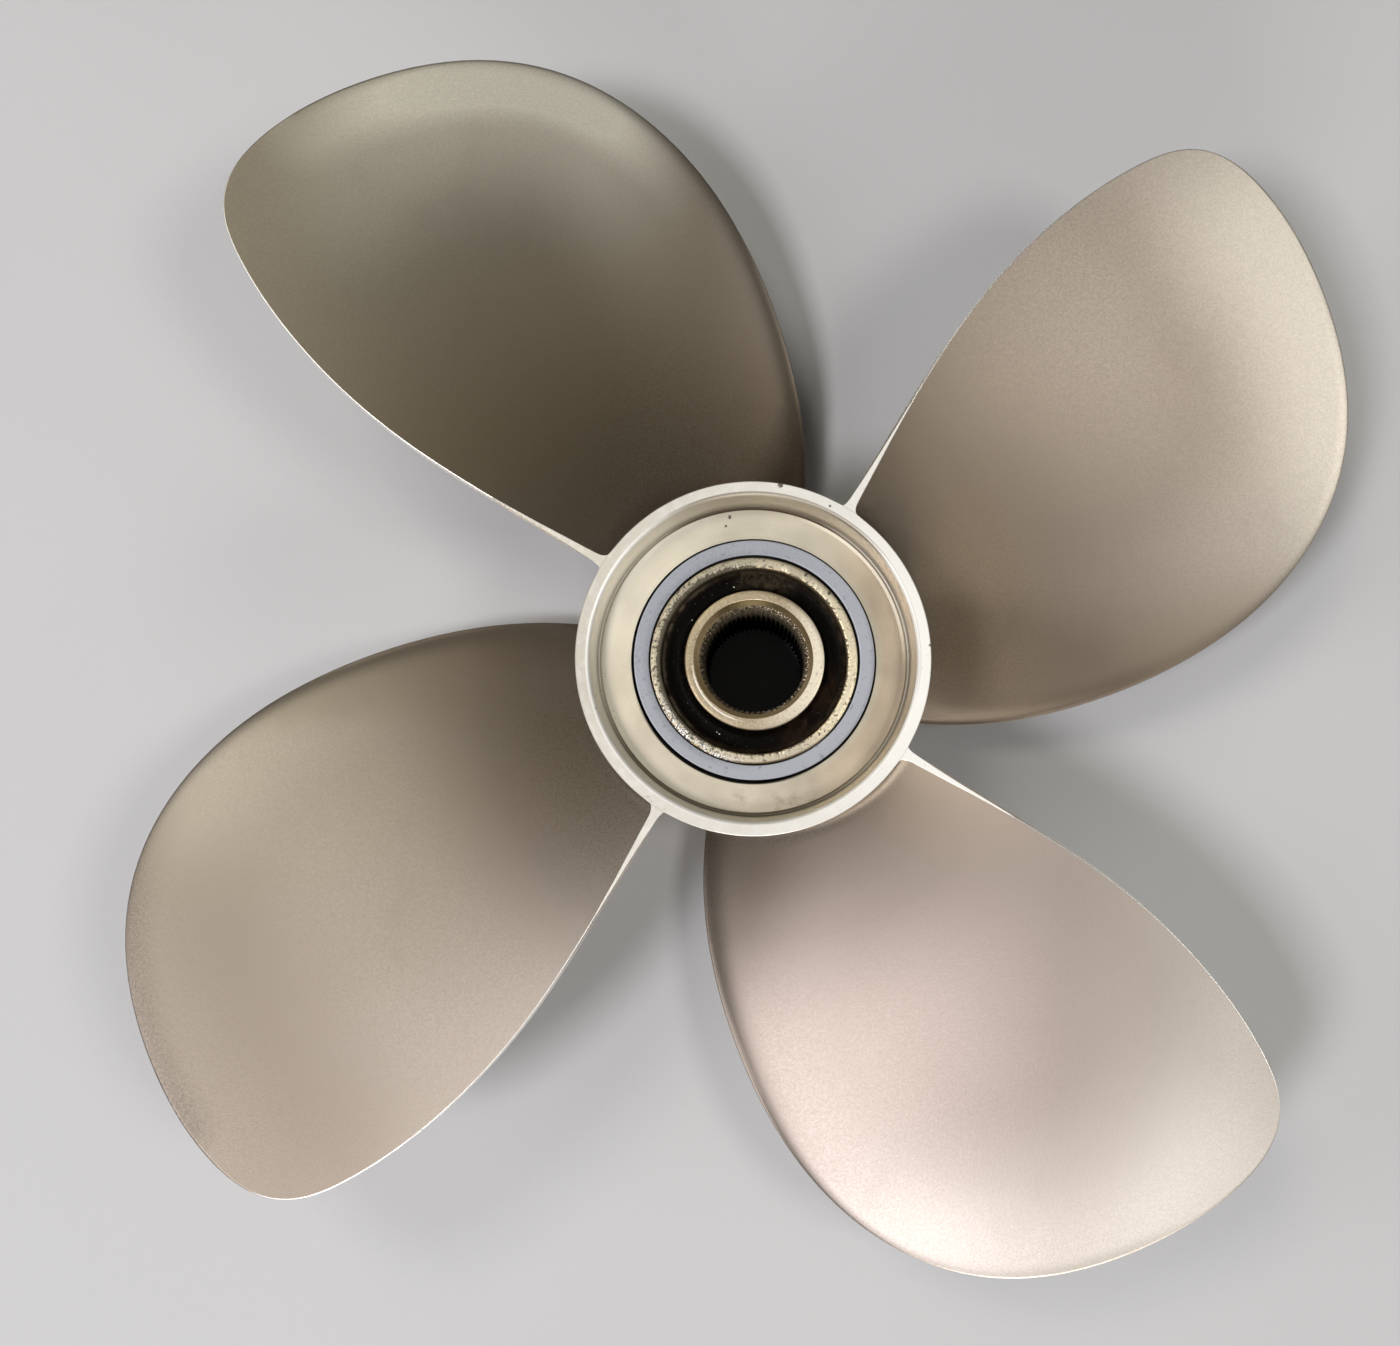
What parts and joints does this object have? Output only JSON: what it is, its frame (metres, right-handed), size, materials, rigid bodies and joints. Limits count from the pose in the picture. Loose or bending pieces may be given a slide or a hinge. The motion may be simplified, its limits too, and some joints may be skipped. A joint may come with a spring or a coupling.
{
  "type": "ship propeller",
  "caption": "Right-hand fixed-pitch ship propeller: skewed bronze blades cast in one piece with a round hub that holds a rubber-bushed splined sleeve.",
  "frame": {"origin": "centre of the hub's forward end face, which stands on the floor", "axes": "+Z along the shaft, from the forward end to the aft end; +X and +Y run to the right and to the top of the picture"},
  "size_m": [0.5116, 0.5116, 0.096],
  "materials": {
    "cast_bronze": "bead-blasted satin nickel-aluminium bronze, machined bright on the hub's ends",
    "grey_ring": "satin blue-grey",
    "burnished_bronze": "turned and burnished by use",
    "black_rubber": "black, greasy"
  },
  "bodies": {
    "root": {"propeller_casting": "cast_bronze", "spacer_ring": "grey_ring", "bush_shell": "burnished_bronze", "rubber_bush": "black_rubber", "splined_sleeve": "burnished_bronze"}
  },
  "joints": []
}
